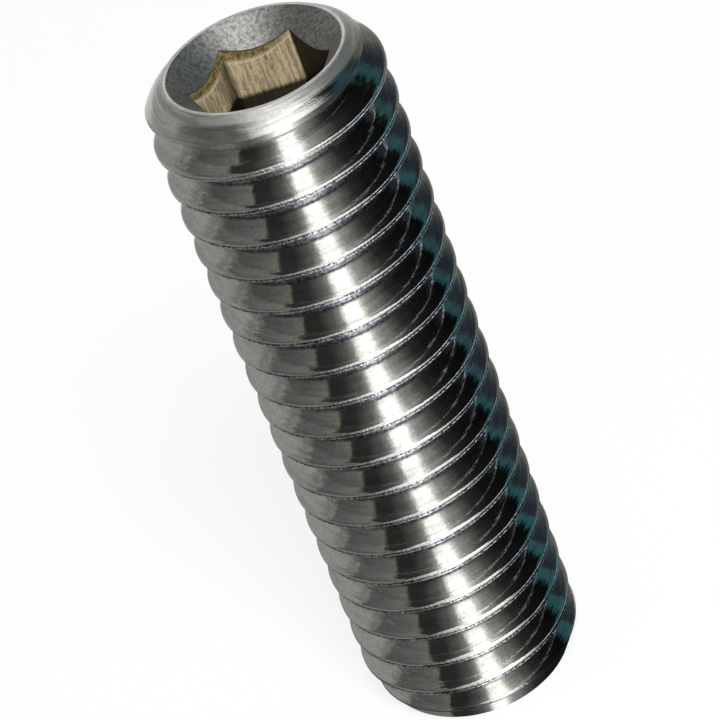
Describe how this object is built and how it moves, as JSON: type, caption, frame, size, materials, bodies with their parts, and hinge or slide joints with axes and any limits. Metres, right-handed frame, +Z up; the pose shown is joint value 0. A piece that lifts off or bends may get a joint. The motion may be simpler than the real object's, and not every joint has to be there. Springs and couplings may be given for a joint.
{
  "type": "hexagon socket set screw",
  "caption": "Headless, fully threaded grub screw with a countersunk hexagon socket in one end and a chamfered flat point at the other.",
  "frame": {"origin": "centre of the flat point face, which the screw stands on", "axes": "+Z up along the screw's axis, out of the socket; +X through one corner of the hexagon"},
  "size_m": [0.006, 0.006, 0.0196],
  "materials": {
    "steel": "bright rolled stainless steel, broached socket"
  },
  "bodies": {
    "root": {"set_screw": "steel"}
  },
  "joints": []
}
